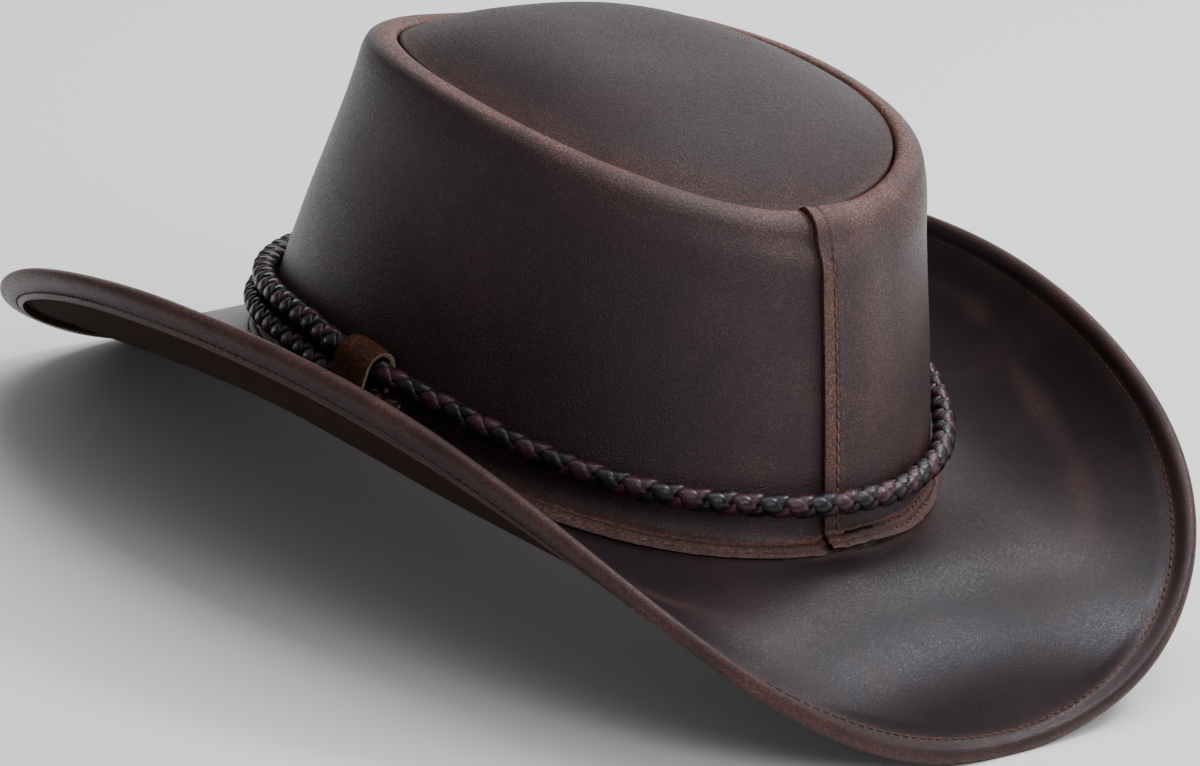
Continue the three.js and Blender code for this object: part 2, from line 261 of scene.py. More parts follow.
class BushHatColours(bpy.types.PropertyGroup):
    """Colours of the hat's leather, laces and thread"""

    dark: paint("Dark", "Oiled leather where it is darkest", (0.0135, 0.0085, 0.011))
    warm: paint("Warm", "Oiled leather where it is brownest", (0.035, 0.0175, 0.0185))
    stressed: paint("Stressed", "Leather that is pulled or rubbed", (0.112, 0.054, 0.043))
    raw: paint("Raw edge", "Cut edge of the leather", (0.075, 0.04, 0.027))
    flesh: paint("Flesh side", "Rough inner side of the leather", (0.019, 0.0098, 0.0078))
    keeper: paint("Keeper", "Rough-out leather of the keepers", (0.05, 0.022, 0.0135))
    keeper_edge: paint("Keeper edge", "Cut edge of the keepers", (0.24, 0.17, 0.13))
    black_lace: paint("Black lace", "Two of the braid's laces", (0.0052, 0.0043, 0.006))
    red_lace: paint("Burgundy lace", "The other two laces", (0.026, 0.0075, 0.012))
    thread: paint("Thread", "Thread of the brim's hem", (0.055, 0.026, 0.016))
    rubbed_thread: paint("Rubbed thread", "Thread of flange and back seam", (0.17, 0.09, 0.055))
    floor: paint("Floor", "Plain floor under the hat", (0.95, 0.95, 0.95))


def mix(a, b, share):
    return a + (b - a) * share


def smooth(value, low, high):
    """Smooth step from 0 at low to 1 at high"""
    share = min(1, max(0, (value - low) / (high - low)))
    return share * share * (3 - 2 * share)


def bump(value, height, middle, width):
    """Smooth hill with its height at middle, which ends at width on either side"""
    return height * (1 - smooth(abs(value - middle), 0, width))


@cache
def series(values):
    """Cosine series that passes through values at even steps from the front to the back"""
    last = len(values) - 1
    found = []
    for order in range(last + 1):
        total = 0
        for step, value in enumerate(values):
            share = 0.5 if step in (0, last) else 1
            total += share * value * cos(pi * order * step / last)
        found.append(total * (1 if order in (0, last) else 2) / last)
    return found


def read(table, t):
    return sum(value * cos(order * t) for order, value in enumerate(series(table)))


def turns_round(count):
    return [2 * pi * i / count for i in range(count + 1)]


class Form:
    """The hat's surfaces in metres, from the sizes in the panel"""

    def __init__(self):
        sizes = bpy.context.scene.bush_hat_sizes
        for name in sizes.bl_rna.properties.keys():
            if name not in ("rna_type", "name"):
                setattr(self, name, getattr(sizes, name))
        self.turn = Euler((REST_PITCH, 0, 0)).to_matrix()
        self.shift = Vector(REST_SHIFT)

    def stand(self, point):
        return self.turn @ point + self.shift

    def foot(self, t):
        return BASE_SADDLE * read(FOOT_SAG, t)

    def rim(self, t):
        return self.crown_height * read(CROWN_RISE, t)

    def reach(self, t):
        return self.brim_width * read(BRIM_REACH, t)

    def cuff(self, t):
        return self.flange_width * read(CUFF_WIDTH, t) - FLANGE_SKEW * sin(2 * t)

    def oval(self, t, level, out):
        """Egg-shaped oval at a level of the crown, moved out along its normal"""
        swell = WALL_BULGE * sin(pi * max(0, level) ** 0.7)
        length = mix(self.head_length, self.top_length, level) / 2 + swell
        width = mix(self.head_width, self.top_width, level) / 2 + swell
        egg = mix(BASE_EGG, TOP_EGG, level)
        x = width * sin(t) * (1 - egg * cos(t))
        y = -length * cos(t) - TOP_FORWARD * level
        along_x = width * (cos(t) * (1 - egg * cos(t)) + egg * sin(t) ** 2)
        along_y = length * sin(t)
        norm = hypot(along_x, along_y)
        off = out + TOP_SQUARE * level ** 6 * (1 - cos(4 * t)) / 2
        return x + off * along_y / norm, y - off * along_x / norm

    def outward(self, t):
        """Level direction straight out of the crown's foot"""
        x, y = self.oval(t, 0, 1)
        base_x, base_y = self.oval(t, 0, 0)
        return Vector((x - base_x, y - base_y, 0)).normalized()

    def lap_raise(self, past):
        """How far the side is raised where it lies over the seam's other end"""
        return LAP_RAISE * (1 - smooth(past, LAP_WIDTH, LAP_WIDTH + LAP_RUN_OUT))

    def wall(self, t, level, out, up):
        """Point of the crown's wall, out from the oval of its level and up from its height there"""
        height = self.rim(t) - self.foot(t)
        flare = FLARE_WIDTH * exp(-level * height / FLARE_HEIGHT)
        x, y = self.oval(t, level, out + flare)
        return Vector((x, y, mix(self.foot(t), self.rim(t), level) + up))

    def brim(self, t, along, lift):
        """Point at a distance along the brim's top from the crown's foot, lifted off that top"""
        reach = self.reach(t)
        root = radians(read(BRIM_ROOT_SLOPE, t))
        edge = radians(read(BRIM_EDGE_SLOPE, t))
        step = along / SLOPE_STEPS
        out = up = 0
        for i in range(SLOPE_STEPS):
            share = min(1, max(0, (i + 0.5) * step / reach))
            slope = mix(root, edge, share ** BRIM_CURL)
            out += step * cos(slope)
            up += step * sin(slope)
        slope = mix(root, edge, min(1, max(0, along / reach)) ** BRIM_CURL)
        x, y = self.oval(t, 0, out - lift * sin(slope))
        return Vector((x, y, self.foot(t) + up + lift * cos(slope)))

    def flange(self, t, lift, tuck):
        """Curve of the flange's top and its fillet, by the distance in from the edge, and that curve's end"""
        fray = FLANGE_FRAY * noise.noise(Vector((FRAY_WAVES * sin(t), FRAY_WAVES * cos(t), 1.7)))
        cuff = self.cuff(t) + fray - tuck
        top = GAP + self.leather + lift
        inner = min(FLARE_WIDTH + FLANGE_FILLET, cuff - FLANGE_FLAT)
        corner = self.brim(t, FLARE_WIDTH, top)
        start = self.brim(t, inner, top)
        end = self.wall(t, (top + FLANGE_FILLET) / (self.rim(t) - self.foot(t)), lift, 0)
        run = (start - corner).length + (end - corner).length
        out = self.outward(t)

        def on_curve(inset):
            if cuff - inset >= inner:
                return self.brim(t, cuff - inset, top)
            share = (inset - cuff + inner) / run
            return start * (1 - share) ** 2 + corner * (2 * share * (1 - share)) + end * share ** 2

        def place(inset, rise):
            along = on_curve(inset + HAIR) - on_curve(inset - HAIR)
            normal = (out * along.z - Vector((0, 0, along.dot(out)))).normalized()
            return on_curve(inset) + normal * rise

        return place, cuff - inner + run

    def round_length(self, turn):
        """Length round the head of a turn in degrees, by the head's width"""
        return turn * pi * self.head_width / 360

    def away(self, t, place):
        """Distance round the head from angle t to a place in degrees"""
        turn = (t - radians(place) + pi) % (2 * pi) - pi
        return self.round_length(abs(degrees(turn)))

    def near(self, t, place):
        """1 near a place, falling to 0 where its effect ends"""
        middle, full, end = place
        return 1 - smooth(self.away(t, middle), full, end)

    def past_seam(self, t):
        """Distance round the head from the edge of the lap, to the wearer's right"""
        return self.round_length(degrees(t) - SEAM_ANGLE)

    def band_room(self, t):
        """Room between the band and the wall, for the keepers' leather and over the lap"""
        keeper = min(self.away(t, KEEPER_ANGLE), self.away(t, -KEEPER_ANGLE))
        lap_middle = SEAM_ANGLE + LAP_WIDTH * 360 / (2 * pi * self.head_width)
        over_lap = 1 - smooth(self.away(t, lap_middle), LAP_WIDTH, LAP_WIDTH + LAP_RUN_OUT)
        at_keeper = 1 - smooth(keeper, 0.6 * self.keeper_length, 2 * self.keeper_length)
        return BAND_GAP + (self.keeper_leather + KEEPER_PLAY) * at_keeper + LAP_RAISE * over_lap

    def band(self, turn):
        """Centre of the band at a turn in degrees: the lower row in front, then the upper one"""
        t = radians(KEEPER_ANGLE - turn)
        past_right = self.round_length(turn - 2 * KEEPER_ANGLE)
        row = smooth(past_right, self.keeper_length, self.keeper_length + ROW_RUN)
        rise = self.band_height * read(BAND_RISE, t)
        rise -= (1 - row) * (self.braid_diameter + GAP)
        level = rise / (self.rim(t) - self.foot(t))
        out = self.braid_diameter / 2 + self.band_room(t)
        return self.stand(self.wall(t, level, out, 0))


def smooth_rows(rows, counts):
    """Rows on the smooth curve through rows, each a point and its stress, counts[i] of them from row i on"""
    found = []
    for part, count in enumerate(counts):
        a, b = rows[part], rows[part + 1]
        before = rows[part - 1] if part else a
        after = rows[part + 2] if part + 2 < len(rows) else b
        gap = (b[0] - a[0]).length
        pull_a = tangent(before[0], a[0], b[0]) * gap
        pull_b = tangent(a[0], b[0], after[0]) * gap
        for step in range(count):
            share = step / count
            cube, square = share ** 3, share ** 2
            point = a[0] * (2 * cube - 3 * square + 1) + pull_a * (cube - 2 * square + share)
            point += b[0] * (3 * square - 2 * cube) + pull_b * (cube - square)
            found.append((point, mix(a[1], b[1], share)))
    found.append(rows[-1])
    return found


def tangent(before, middle, after):
    """Direction of a smooth curve at its middle point, weighed by the lengths on both sides"""
    first, second = middle - before, after - middle
    if first.length < 1e-9 or second.length < 1e-9:
        return (after - before).normalized()
    pull = first * (second.length / first.length) + second * (first.length / second.length)
    return pull / (first.length + second.length)


def leather_grid(columns, closed):
    """Grid of leather laid on columns of rows round the hat, with each row's stress on its points"""
    bm = bmesh.new()
    uv = bm.loops.layers.uv.new("Surface")
    stress = bm.verts.layers.float.new("stress")
    across, along = len(columns) - 1, len(columns[0]) - 1
    bmesh.ops.create_grid(bm, x_segments=across, y_segments=along, size=0.5, calc_uvs=True)
    for vert in bm.verts:
        column = columns[round((vert.co.x + 0.5) * across)]
        point, strain = column[round((vert.co.y + 0.5) * along)]
        vert.co = point
        vert[stress] = strain
    if closed:
        bmesh.ops.remove_doubles(bm, verts=bm.verts, dist=1e-7)
    return bm, uv


def ruffle(bm, height, scale, seed):
    """Slight unevenness of hand-formed leather"""
    bm.normal_update()
    offset = Vector((seed, 2.3 * seed, 4.1 * seed))
    for vert in bm.verts:
        vert.co += vert.normal * (height * noise.noise(vert.co * scale + offset))


def with_values(item, **values):
    """The item, with these values set"""
    for name, value in values.items():
        setattr(item, name, value)
    return item


def new_object(name, data):
    item = bpy.data.objects.new(name, data)
    bpy.context.scene.collection.objects.link(item)
    return item


def finish_piece(bm, name, materials, node=None):
    """Puts the mesh into the scene as a piece that rides on the hat"""
    mesh = bpy.data.meshes.new(name)
    bm.to_mesh(mesh)
    bm.free()
    mesh.shade_smooth()
    for material in materials:
        mesh.materials.append(material)
    piece = new_object(name, mesh)
    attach(piece, "root")
    if node:
        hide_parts(node)
    return piece


def give_thickness(piece, thickness, edge_round):
    """Leather's thickness inwards, with its cut edge and its flesh side, and the edge rubbed round"""
    solid = with_values(
        piece.modifiers.new("Thickness", "SOLIDIFY"), thickness=thickness, offset=-1, use_even_offset=False,
        thickness_clamp=0, material_offset=2, material_offset_rim=1)
    group = piece.vertex_groups.get("thickness")
    if group:
        with_values(solid, vertex_group=group.name, thickness_vertex_group=0)
    with_values(piece.modifiers.new("Rubbed edge", "BEVEL"), width=edge_round, segments=2,
                limit_method="ANGLE", angle_limit=radians(50))


def face_outwards(bm, middle):
    """Turns the sheet over if it faces the inside of the hat"""
    bm.normal_update()
    facing = sum(face.normal.dot(face.calc_center_median() - middle) for face in bm.faces)
    if facing < 0:
        bmesh.ops.reverse_faces(bm, faces=bm.faces)


def new_group(name, inputs, outputs):
    """Node group whose sockets are colours if their names say so, and numbers if not"""
    tree = bpy.data.node_groups.new(name, "ShaderNodeTree")
    for way, labels in (("INPUT", inputs), ("OUTPUT", outputs)):
        for label in labels:
            kind = "NodeSocketColor" if "Color" in label else "NodeSocketFloat"
            tree.interface.new_socket(name=label, in_out=way, socket_type=kind)
    return tree, add_node(tree, "NodeGroupInput").outputs, add_node(tree, "NodeGroupOutput").inputs


def add_node(tree, kind, **values):
    return with_values(tree.nodes.new(kind), **values)


def feed(tree, node, values):
    """Sets a node's inputs: each value is a socket to link or a number or colour"""
    for place, value in values.items():
        if isinstance(value, bpy.types.NodeSocket):
            tree.links.new(value, node.inputs[place])
        else:
            node.inputs[place].default_value = value


def colour_mix(tree, factor, first, second, blend="MIX"):
    node = add_node(tree, "ShaderNodeMix", data_type="RGBA", blend_type=blend, clamp_factor=True)
    feed(tree, node, {0: factor, 6: first, 7: second})
    return node.outputs[2]


def maths(tree, operation, first, second=0.0, clamp=False):
    node = add_node(tree, "ShaderNodeMath", operation=operation, use_clamp=clamp)
    feed(tree, node, {0: first, 1: second})
    return node.outputs[0]


def noise_at(tree, vector, scale, detail=3.0, roughness=0.55):
    node = add_node(tree, "ShaderNodeTexNoise", noise_dimensions="3D")
    feed(tree, node, {"Vector": vector, "Scale": scale, "Detail": detail, "Roughness": roughness})
    return node.outputs["Fac"]


def ramp(tree, value, low, high, to_low=0.0, to_high=1.0):
    node = add_node(tree, "ShaderNodeMapRange", interpolation_type="SMOOTHSTEP", clamp=True)
    feed(tree, node, {"Value": value, "From Min": low, "From Max": high, "To Min": to_low, "To Max": to_high})
    return node.outputs["Result"]


def object_place(tree):
    """The object's own coordinates"""
    return add_node(tree, "ShaderNodeTexCoord").outputs["Object"]


def oiled_group():
    """Oiled leather: dark and warm brown clouds, light specks of grain and painted glints, stressed brown"""
    if "Oiled leather" in bpy.data.node_groups:
        return bpy.data.node_groups["Oiled leather"]
    tree, inputs, outputs = new_group(
        "Oiled leather",
        ("Dark Color", "Warm Color", "Stressed Color", "Warmth", "Stress", "Speckle", "Gloss"),
        ("Color", "Roughness", "Height"))
    place = object_place(tree)
    clouds = noise_at(tree, place, 22, 4, 0.6)
    patches = noise_at(tree, place, 75, 3, 0.6)
    speck = noise_at(tree, place, 1750, 2, 0.85)
    grain = noise_at(tree, place, 1300, 2, 0.6)
    warm_share = maths(tree, "ADD", ramp(tree, clouds, 0.38, 0.72, 0.0, 0.52), inputs["Warmth"])
    warm_share = maths(tree, "MULTIPLY", warm_share, ramp(tree, patches, 0.25, 0.75, 0.65, 1.0), True)
    colour = colour_mix(tree, warm_share, inputs["Dark Color"], inputs["Warm Color"])
    rubbed = maths(tree, "MULTIPLY", inputs["Stress"], ramp(tree, patches, 0.25, 0.7, 0.6, 1.2))
    rubbed = maths(tree, "MULTIPLY", rubbed, ramp(tree, speck, 0.3, 0.68, 0.55, 1.15), True)
    colour = colour_mix(tree, rubbed, colour, inputs["Stressed Color"])
    # Lighter speckle, more where the leather is warm: partly the grain's own specks, partly painted glints
    grain_and_glint_speck = maths(tree, "MULTIPLY", ramp(tree, speck, 0.5, 0.64), inputs["Speckle"])
    grain_and_glint_speck = maths(tree, "MULTIPLY", grain_and_glint_speck, maths(tree, "ADD", warm_share, 0.4, True), True)
    glint_lightened = colour_mix(tree, 1.0, colour, (3.4, 3.1, 2.95, 1), "MULTIPLY")
    colour = colour_mix(tree, grain_and_glint_speck, colour, glint_lightened)
    tree.links.new(colour, outputs["Color"])
    rough = maths(tree, "ADD", inputs["Gloss"], ramp(tree, patches, 0.3, 0.7, -0.01, 0.02))
    rough = maths(tree, "ADD", rough, maths(tree, "MULTIPLY", inputs["Stress"], 0.2))
    rough = maths(tree, "ADD", rough, ramp(tree, speck, 0.35, 0.65, 0.12, -0.1), True)
    tree.links.new(rough, outputs["Roughness"])
    height = maths(tree, "ADD", maths(tree, "MULTIPLY", speck, 0.7), maths(tree, "MULTIPLY", grain, 0.3))
    tree.links.new(height, outputs["Height"])
    return tree


def fibre_group():
    """Cut edge or flesh side of leather: short fibres, lighter and darker"""
    if "Leather fibres" in bpy.data.node_groups:
        return bpy.data.node_groups["Leather fibres"]
    tree, inputs, outputs = new_group("Leather fibres", ("Base Color", "Contrast"), ("Color", "Height"))
    place = object_place(tree)
    patches = noise_at(tree, place, 140, 3, 0.6)
    fibres = noise_at(tree, place, 900, 4, 0.75)
    share = maths(tree, "MULTIPLY", ramp(tree, fibres, 0.35, 0.66), ramp(tree, patches, 0.3, 0.7, 0.5, 1.0))
    dark = colour_mix(tree, inputs["Contrast"], inputs["Base Color"],
                      colour_mix(tree, 1.0, inputs["Base Color"], (0.3, 0.27, 0.25, 1), "MULTIPLY"))
    light = colour_mix(tree, 1.0, inputs["Base Color"], (1.7, 1.6, 1.5, 1), "MULTIPLY")
    tree.links.new(colour_mix(tree, share, dark, light), outputs["Color"])
    tree.links.new(fibres, outputs["Height"])
    return tree


def new_material(name):
    material = bpy.data.materials.new(name)
    material.use_nodes = True
    tree = material.node_tree
    return material, tree, tree.nodes["Principled BSDF"]


def use_group(tree, group, values):
    node = add_node(tree, "ShaderNodeGroup", node_tree=group)
    feed(tree, node, values)
    return node.outputs


def add_bump(tree, shader, height, strength, distance):
    node = add_node(tree, "ShaderNodeBump")
    feed(tree, node, {"Strength": strength, "Distance": distance, "Height": height})
    tree.links.new(node.outputs["Normal"], shader.inputs["Normal"])


def colour_of(name):
    return (*getattr(bpy.context.scene.bush_hat_colours, name), 1)


def scaled(shade, factor):
    return (*(factor * value for value in shade[:3]), 1)


# The speckle setting is the lighter speckle, partly the grain's own specks and partly painted glints
def oiled_leather(name, warmth, speckle, gloss, grain, specular, tint=(1, 0.9, 0.97, 1)):
    """Grain side of the leather, brown where the piece's stress attribute says it is pulled"""
    material, tree, shader = new_material(name)
    stress = add_node(tree, "ShaderNodeAttribute", attribute_name="stress", attribute_type="GEOMETRY")
    face = use_group(tree, oiled_group(), {
        "Dark Color": colour_of("dark"), "Warm Color": colour_of("warm"),
        "Stressed Color": colour_of("stressed"), "Warmth": warmth, "Speckle": speckle, "Gloss": gloss,
        "Stress": stress.outputs["Fac"]})
    feed(tree, shader, {"Base Color": face["Color"], "Roughness": face["Roughness"],
                        "Specular IOR Level": specular, "Specular Tint": tint})
    add_bump(tree, shader, face["Height"], 0.9, grain)
    return material


def fibrous(name, colour, contrast, depth=0.0004):
    """Cut edge, flesh side or rough-out leather"""
    material, tree, shader = new_material(name)
    face = use_group(tree, fibre_group(), {"Base Color": colour_of(colour), "Contrast": contrast})
    feed(tree, shader, {"Base Color": face["Color"], "Roughness": 0.9, "Specular IOR Level": 0.08})
    add_bump(tree, shader, face["Height"], 0.7, depth)
    return material


def leather_faces(part, contrast, **grain_side):
    """Materials of a sheet of leather: its grain side, its cut edge and its flesh side"""
    return [oiled_leather(part + "_leather", **grain_side), fibrous(part + "_raw_edge", "raw", contrast),
            fibrous(part + "_flesh_side", "flesh", 0.6)]


def lace_leather(name, colour):
    """Smooth lace with a soft shine and fine creases across it"""
    material, tree, shader = new_material(name)
    place = object_place(tree)
    blotch = noise_at(tree, place, 300, 3, 0.6)
    fine = noise_at(tree, place, 1800, 2, 0.6)
    base = colour_of(colour)
    light = scaled(base, 1.9)
    feed(tree, shader, {"Base Color": colour_mix(tree, ramp(tree, blotch, 0.35, 0.7), base, light),
                        "Roughness": ramp(tree, blotch, 0.3, 0.7, 0.25, 0.43),
                        "Specular IOR Level": 0.33, "Specular Tint": (0.97, 0.92, 1, 1)})
    add_bump(tree, shader, fine, 0.35, 0.0002)
    return material


def thread_material(name, colour):
    material, tree, shader = new_material(name)
    place = object_place(tree)
    worn = noise_at(tree, place, 60, 3, 0.6)
    twist = noise_at(tree, place, 2400, 1, 0.5)
    base = colour_of(colour)
    dull = scaled(base, 0.5)
    feed(tree, shader, {"Base Color": colour_mix(tree, ramp(tree, worn, 0.38, 0.62), dull, base),
                        "Roughness": 0.7})
    add_bump(tree, shader, twist, 0.5, 0.0002)
    return material


def floor_material():
    material, tree, shader = new_material("floor_paint")
    place = object_place(tree)
    cloud = noise_at(tree, place, 1.5, 2, 0.5)
    base = colour_of("floor")
    soft = scaled(base, 0.985)
    feed(tree, shader, {"Base Color": colour_mix(tree, cloud, base, soft), "Roughness": 0.9,
                        "Specular IOR Level": 0.1})
    return material


class BUSHHAT_OT_brim(bpy.types.Operator):
    """Makes the brim, one sheet of leather turned under over its wire and hemmed"""

    bl_idname = "bushhat.brim"
    bl_label = "Brim"
    stations: number("Stations", "Columns round the brim", 400)

    def rows(self, form, t):
        """Rows from the head opening over the top, round the wire and back to the hem's raw edge"""
        reach, bead = form.reach(t), form.bead_radius
        side = sin(t) ** 2
        found = []
        top_end = reach + bead - STITCH_INSET - VALLEY_WIDTH
        arc = ARC_PLACE + ARC_SHIFT * smooth(side, 0.85, 1)
        for step in range(TOP_STEPS + 1):
            share = step / TOP_STEPS
            along = top_end * share
            worn = bump(share, ARC_WEAR, arc, ARC_WIDTH) * smooth(side, 0, 0.35)
            cloud = noise.noise(Vector((4 * sin(t), 4 * cos(t), 5 * share)))
            worn = worn * smooth(cloud, -0.45, 0.25) + bump(share, *ROOT_WEAR)
            found.append((form.brim(t, along, 0), worn))
        crest = bead - BEAD_DROP
        valley_end = STITCH_INSET + VALLEY_WIDTH
        for step in range(1, VALLEY_STEPS + 1):
            edge = mix(valley_end, bead, step / VALLEY_STEPS)
            fall = smooth(edge, bead, STITCH_INSET)
            lift = mix(crest, -VALLEY_DEPTH, fall) * (1 - smooth(edge, STITCH_INSET, valley_end))
            strain = VALLEY_STRESS + bump(edge, *THREAD_WEAR)
            found.append((form.brim(t, reach + bead - edge, lift), strain * smooth(step, 2, 7)))
        base, more = BEAD_STRESS
        for step in range(1, BEAD_STEPS + 1):
            angle = radians(90 - 180 * step / BEAD_STEPS)
            point = form.brim(t, reach + bead * cos(angle), bead * sin(angle) - BEAD_DROP)
            found.append((point, base + more * cos(angle)))
        for step in range(1, HEM_STEPS + 1):
            edge = mix(bead, form.hem_width + bead, step / HEM_STEPS)
            lift = -bead - BEAD_DROP + bump(edge, VALLEY_DEPTH, STITCH_INSET, HEM_DENT)
            found.append((form.brim(t, reach + bead - edge, lift), HEM_STRESS + bump(step, *HEM_WEAR)))
        return [(form.stand(point), strain) for point, strain in found]

    def execute(self, context):
        form = Form()
        columns = [self.rows(form, t) for t in turns_round(self.stations)]
        bm, _ = leather_grid(columns, True)
        ruffle(bm, height=0.0003, scale=28, seed=3)
        face_outwards(bm, Vector(FAR_BELOW))
        for vert in bm.verts:
            vert.co.z = max(0, vert.co.z)
        materials = leather_faces("brim", 0.7, warmth=0.0, speckle=0.4, gloss=0.35, grain=0.00013,
                                  specular=0.15, tint=(0.82, 0.87, 1, 1))
        piece = finish_piece(bm, "brim_sheet", materials, "brim")
        give_thickness(piece, form.brim_leather - GAP, edge_round=0.0003)
        return {"FINISHED"}


class BUSHHAT_OT_crown_side(bpy.types.Operator):
    """Makes the wrapped side of the crown with its flange, lapped back seam and rolled rim"""

    bl_idname = "bushhat.crown_side"
    bl_label = "Crown side"
    stations: number("Stations", "Columns round the crown", 400)
    seam_stations: number("Seam stations", "Closer columns at the back seam", 40)

    def rows(self, form, t, lift, tuck):
        """Rows from the flange's edge up the wall, over the rim and down in the groove"""
        flange, flange_end = form.flange(t, lift, tuck)
        found = [(flange(inset, rise), strain) for inset, rise, strain in FLANGE_ROWS]
        found += [(flange(mix(FLANGE_ROWS[-1][0], flange_end, share), 0), 0.62 * (1 - share) ** 2 + 0.06)
                  for share in (0.25, 0.5, 0.75, 1)]
        near = bump(form.past_seam(t), *LAP_EDGE_WEAR)
        glow = form.near(t, CREST_WEAR) * (1 - LEFT_CREST_LOSS * smooth(form.past_seam(t), *LEFT_CREST))
        right = form.near(t, RIGHT_WEAR)
        found += [(form.wall(t, level, lift, 0), max(strain + at_crest * glow + at_right * right, near))
                  for level, strain, at_crest, at_right in WALL_ROWS]
        radius = form.rim_radius * (1 - SHOULDER_TIGHT * form.near(t, SHOULDER))
        for turn, strain, more in RIM_ROWS:
            angle = radians(turn)
            out = radius * (cos(angle) - 1) + lift * cos(angle)
            up = radius * (sin(angle) - 1) + lift * sin(angle)
            found.append((form.wall(t, 1, out, up), strain + more * glow))
        inset = form.rim_inset + LAP_INSET * lift
        found += [(form.wall(t, 1, out - inset, up), strain) for out, up, strain in GROOVE_ROWS]
        return smooth_rows([(form.stand(point), strain) for point, strain in found], SIDE_STEPS)

    def execute(self, context):
        form = Form()
        whole = form.round_length(360) + LAP_WIDTH
        fine = [SEAM_STEP * i for i in range(self.seam_stations)]
        pasts = fine + [mix(fine[-1], whole, (i + 1) / self.stations) for i in range(self.stations)]
        columns = []
        for past in pasts:
            lift = form.lap_raise(past) - bump(past, *LAP_STITCH_GROOVE)
            t = radians(SEAM_ANGLE + past / form.round_length(1))
            tuck = LAP_TUCK * smooth(past, whole - LAP_WIDTH - LAP_END, whole - LAP_WIDTH)
            columns.append(self.rows(form, t, lift, tuck))
        bm, uv = leather_grid(columns, False)
        ruffle(bm, height=0.00025, scale=30, seed=7)
        face_outwards(bm, Vector(CROWN_MIDDLE))
        thin = bm.verts.layers.deform.verify()
        last_row = len(columns[0]) - 1
        run, share_lost = UNDER_LAP
        for vert in bm.verts:
            place = vert.link_loops[0][uv].uv
            past = pasts[round(place.x * (len(pasts) - 1))]
            row = place.y * last_row
            at_lap = 1 - smooth(past, LAP_WIDTH, LAP_WIDTH + LAP_RUN_OUT)
            under_lap = smooth(past, whole - LAP_WIDTH - run, whole - LAP_WIDTH)
            at_edge = 1 - smooth(row, *THIN_ROWS)
            vert[thin][0] = 1 - max(LAP_SKIVE * at_lap, share_lost * under_lap, FLANGE_THIN * at_edge)
        materials = leather_faces("side", 0.8, warmth=0.3, speckle=0.8, gloss=0.34, grain=0.0005,
                                  specular=0.3)
        piece = finish_piece(bm, "crown_side_sheet", materials, "crown_side")
        piece.vertex_groups.new(name="thickness")
        give_thickness(piece, form.leather - HAIR, edge_round=0.00025)
        return {"FINISHED"}


class BUSHHAT_OT_crown_tip(bpy.types.Operator):
    """Makes the domed tip of the crown, which is pulled down in the groove of the rim"""

    bl_idname = "bushhat.crown_tip"
    bl_label = "Crown tip"
    stations: number("Stations", "Columns round the tip", 240)

    def rows(self, form, t):
        inset = form.rim_inset + GAP + LAP_INSET * LAP_RAISE
        top = form.crown_height + form.tip_dome
        centre = Vector((0, -TOP_FORWARD, top))
        near = form.near(t, NEAR_DIP)
        sink = TIP_SINK + TIP_NEAR_SINK * near
        edge = form.wall(t, 1, -inset - TIP_EDGE_RADIUS, -sink)
        found = []
        for step in range(TIP_STEPS + 1):
            share = step / TIP_STEPS
            point = centre.lerp(edge, share)
            point.z = mix(top, edge.z, share ** TIP_FULLNESS)
            found.append((point, (0.2 + 0.12 * near) * smooth(share, 0.9 - 0.1 * near, 1)))
        for turn in TIP_EDGE_TURNS:
            angle = radians(turn)
            out = -inset - TIP_EDGE_RADIUS * (1 - cos(angle))
            up = -sink - TIP_EDGE_RADIUS * (1 - sin(angle))
            found.append((form.wall(t, 1, out, up), TIP_EDGE_STRESS))
        found += [(form.wall(t, 1, out - inset, -depth), 0) for out, depth in TIP_TUCK_ROWS]
        return [(form.stand(point), strain) for point, strain in found]

    def execute(self, context):
        form = Form()
        columns = [self.rows(form, t) for t in turns_round(self.stations)]
        bm, _ = leather_grid(columns, True)
        ruffle(bm, height=0.00035, scale=24, seed=11)
        face_outwards(bm, Vector(CROWN_MIDDLE))
        materials = leather_faces("tip", 0.8, warmth=0.13, speckle=0.5, gloss=0.48, grain=0.0004,
                                  specular=0.22)
        piece = finish_piece(bm, "crown_tip_sheet", materials, "crown_tip")
        give_thickness(piece, form.leather, edge_round=0.00025)
        return {"FINISHED"}


